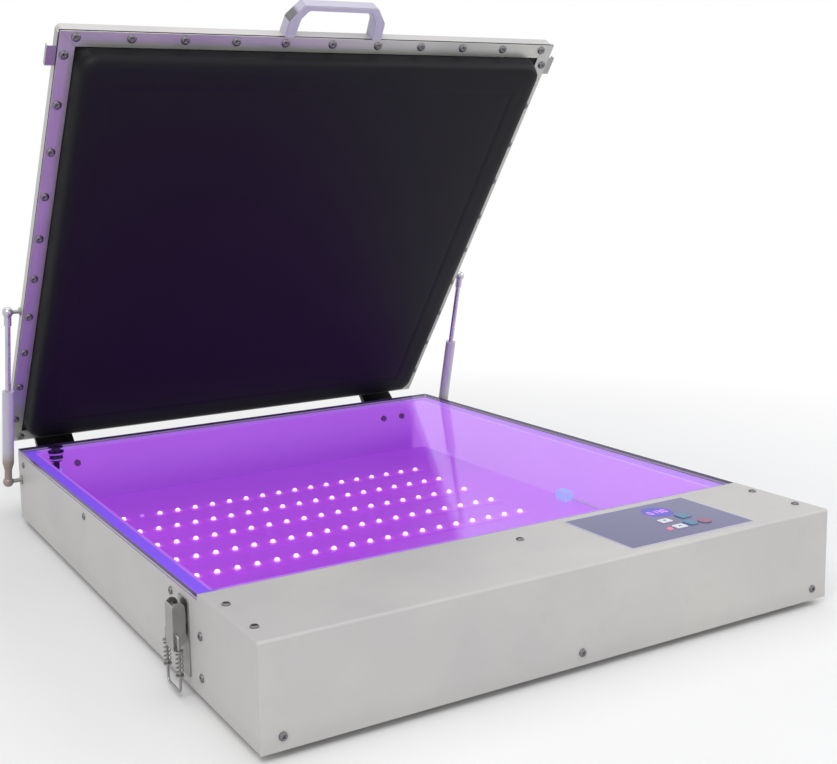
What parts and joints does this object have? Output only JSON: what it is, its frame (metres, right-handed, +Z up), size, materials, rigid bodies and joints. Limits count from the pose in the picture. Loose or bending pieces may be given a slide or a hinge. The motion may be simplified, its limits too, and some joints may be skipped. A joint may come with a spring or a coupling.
{
  "type": "screen printing exposure unit",
  "caption": "Bench-top LED exposure unit: shallow steel tub with a glass top over a light array, and a hinged vacuum lid with a rubber blanket, gas springs and side latches.",
  "frame": {"origin": "centre of the middle foot's underside: on the floor, under the middle of the base's width and depth", "axes": "+X to the right of someone at the control panel, +Y from the front to the hinges, +Z up"},
  "size_m": [0.809, 0.9465, 0.7651],
  "materials": {
    "powder_coat": "light grey powder coat, fine texture",
    "inner_coat": "light grey powder coat inside the chamber",
    "reflector": "satin white reflector sheet",
    "clear_glass": "clear float glass, polished",
    "sponge_gasket": "black sponge strip",
    "blanket_rubber": "black rubber sheet, soft sheen",
    "foot_rubber": "matt black rubber",
    "strip_aluminium": "brushed aluminium",
    "zinc_steel": "zinc plated",
    "black_steel": "black satin enamel",
    "handle_plastic": "light grey moulded plastic",
    "strut_steel": "black enamelled tube",
    "rod_steel": "ground and chromed",
    "overlay_film": "slate-blue membrane film",
    "display_film": "violet-blue display window",
    "white_key": "white",
    "teal_key": "teal",
    "red_key": "red",
    "circuit_board": "green lacquered board",
    "led_board": "white lacquered board",
    "led_lens": "violet emitter",
    "driver_case": "bare folded case",
    "pump_metal": "cast and turned",
    "hose_plastic": "milky flexible tube",
    "port_metal": "dark turned steel",
    "nylon": "white nylon",
    "cable_sheath": "white sheathed cable",
    "black_plastic": "black",
    "rocker_plastic": "black, rounded edges"
  },
  "bodies": {
    "base": {"rubber_feet": "foot_rubber", "chassis_tub": "powder_coat", "partition": "inner_coat", "front_cover": "powder_coat", "glass_rails_side": "inner_coat", "glass_rail_front": "inner_coat", "glass_rail_rear": "inner_coat", "glass_gasket": "sponge_gasket", "glass": "clear_glass", "reflector_tray": "reflector", "led_boards": "led_board", "led_emitters": "led_lens", "keypad_overlay": "overlay_film", "display_window": "display_film", "control_board": "circuit_board", "led_driver": "driver_case", "vacuum_pump": "pump_metal", "vacuum_hose": "hose_plastic", "hose_clips": "nylon", "line_grommets": "foot_rubber", "vacuum_port": "port_metal", "hose_elbow": "nylon", "led_connector": "nylon", "led_cable": "cable_sheath", "fan_frame": "black_plastic", "fan_guard": "zinc_steel", "power_inlet": "black_plastic", "hinge_brackets": "black_steel", "hinge_pins": "zinc_steel", "base_ball_studs": "zinc_steel", "latch_bases": "zinc_steel", "base_screws": "zinc_steel"},
    "lid": {"lid_shell": "powder_coat", "rubber_blanket": "blanket_rubber", "clamp_strips_side": "strip_aluminium", "clamp_strips_end": "strip_aluminium", "lid_screws": "zinc_steel", "lid_handle": "handle_plastic", "lid_catches": "zinc_steel", "hinge_arms": "black_steel", "lid_ball_studs": "zinc_steel"},
    "strut_tube_left": {"strut_tube_left": "strut_steel"},
    "strut_tube_right": {"strut_tube_right": "strut_steel"},
    "strut_rod_left": {"strut_rod_left": "rod_steel"},
    "strut_rod_right": {"strut_rod_right": "rod_steel"},
    "latch_lever_left": {"latch_lever_left": "zinc_steel"},
    "latch_lever_right": {"latch_lever_right": "zinc_steel"},
    "latch_bail_left": {"latch_bail_left": "zinc_steel", "latch_springs_left": "zinc_steel"},
    "latch_bail_right": {"latch_bail_right": "zinc_steel", "latch_springs_right": "zinc_steel"},
    "key_time_down": {"key_time_down": "white_key"},
    "key_time_up": {"key_time_up": "white_key"},
    "key_light": {"key_light": "teal_key"},
    "key_vacuum": {"key_vacuum": "teal_key"},
    "key_start": {"key_start": "red_key"},
    "power_rocker": {"power_rocker": "rocker_plastic"},
    "fan_impeller": {"fan_impeller": "black_plastic"}
  },
  "joints": [
    {"name": "lid_hinge", "type": "hinge", "parent": "base", "child": "lid", "pos_m": [0, 0.458, 0.0613], "axis": [1, 0, 0], "range_deg": [0, 54.6], "deforming": ["rubber_blanket"]},
    {"name": "strut_left_swing", "type": "hinge", "parent": "base", "child": "strut_tube_left", "pos_m": [-0.396, 0.415, 0.072], "axis": [1, 0, 0], "range_deg": [0, 62.19]},
    {"name": "strut_left_slide", "type": "slide", "parent": "strut_tube_left", "child": "strut_rod_left", "axis": [0, -0.2335, 0.9724], "range_m": [-0.02136, 0]},
    {"name": "latch_left_lever", "type": "hinge", "parent": "base", "child": "latch_lever_left", "pos_m": [-0.385, -0.255, 0.094], "axis": [0, 1, 0], "range_deg": [0, 120]},
    {"name": "latch_left_bail", "type": "hinge", "parent": "latch_lever_left", "child": "latch_bail_left", "pos_m": [-0.389, -0.255, 0.068], "axis": [0, -1, 0], "range_deg": [-187.2, 0]},
    {"name": "strut_right_swing", "type": "hinge", "parent": "base", "child": "strut_tube_right", "pos_m": [0.396, 0.415, 0.072], "axis": [1, 0, 0], "range_deg": [0, 62.19]},
    {"name": "strut_right_slide", "type": "slide", "parent": "strut_tube_right", "child": "strut_rod_right", "axis": [0, -0.2335, 0.9724], "range_m": [-0.02136, 0]},
    {"name": "latch_right_lever", "type": "hinge", "parent": "base", "child": "latch_lever_right", "pos_m": [0.385, -0.255, 0.094], "axis": [0, -1, 0], "range_deg": [0, 120]},
    {"name": "latch_right_bail", "type": "hinge", "parent": "latch_lever_right", "child": "latch_bail_right", "pos_m": [0.389, -0.255, 0.068], "axis": [0, 1, 0], "range_deg": [-187.2, 0]},
    {"name": "time_down_press", "type": "slide", "parent": "base", "child": "key_time_down", "axis": [0, 0, -1], "range_m": [0, 0.0004], "stiffness_N_per_m": 500},
    {"name": "time_up_press", "type": "slide", "parent": "base", "child": "key_time_up", "axis": [0, 0, -1], "range_m": [0, 0.0004], "stiffness_N_per_m": 500},
    {"name": "light_press", "type": "slide", "parent": "base", "child": "key_light", "axis": [0, 0, -1], "range_m": [0, 0.0004], "stiffness_N_per_m": 500},
    {"name": "vacuum_press", "type": "slide", "parent": "base", "child": "key_vacuum", "axis": [0, 0, -1], "range_m": [0, 0.0004], "stiffness_N_per_m": 500},
    {"name": "start_press", "type": "slide", "parent": "base", "child": "key_start", "axis": [0, 0, -1], "range_m": [0, 0.0004], "stiffness_N_per_m": 500},
    {"name": "power_rocker_tilt", "type": "hinge", "parent": "base", "child": "power_rocker", "pos_m": [0.3735, -0.325, 0.0745], "axis": [0, 1, 0], "range_deg": [0, 16]},
    {"name": "fan_spin", "type": "hinge", "parent": "base", "child": "fan_impeller", "pos_m": [0.3635, -0.385, 0.058], "axis": [1, 0, 0], "continuous": true}
  ],
  "couplings": [
    {"joint": "strut_left_swing", "follows": "lid_hinge", "ratio": 1.1382},
    {"joint": "strut_left_slide", "follows": "lid_hinge", "m_per_rad": -0.022305},
    {"joint": "strut_right_swing", "follows": "lid_hinge", "ratio": 1.1382},
    {"joint": "strut_right_slide", "follows": "lid_hinge", "m_per_rad": -0.022305}
  ]
}
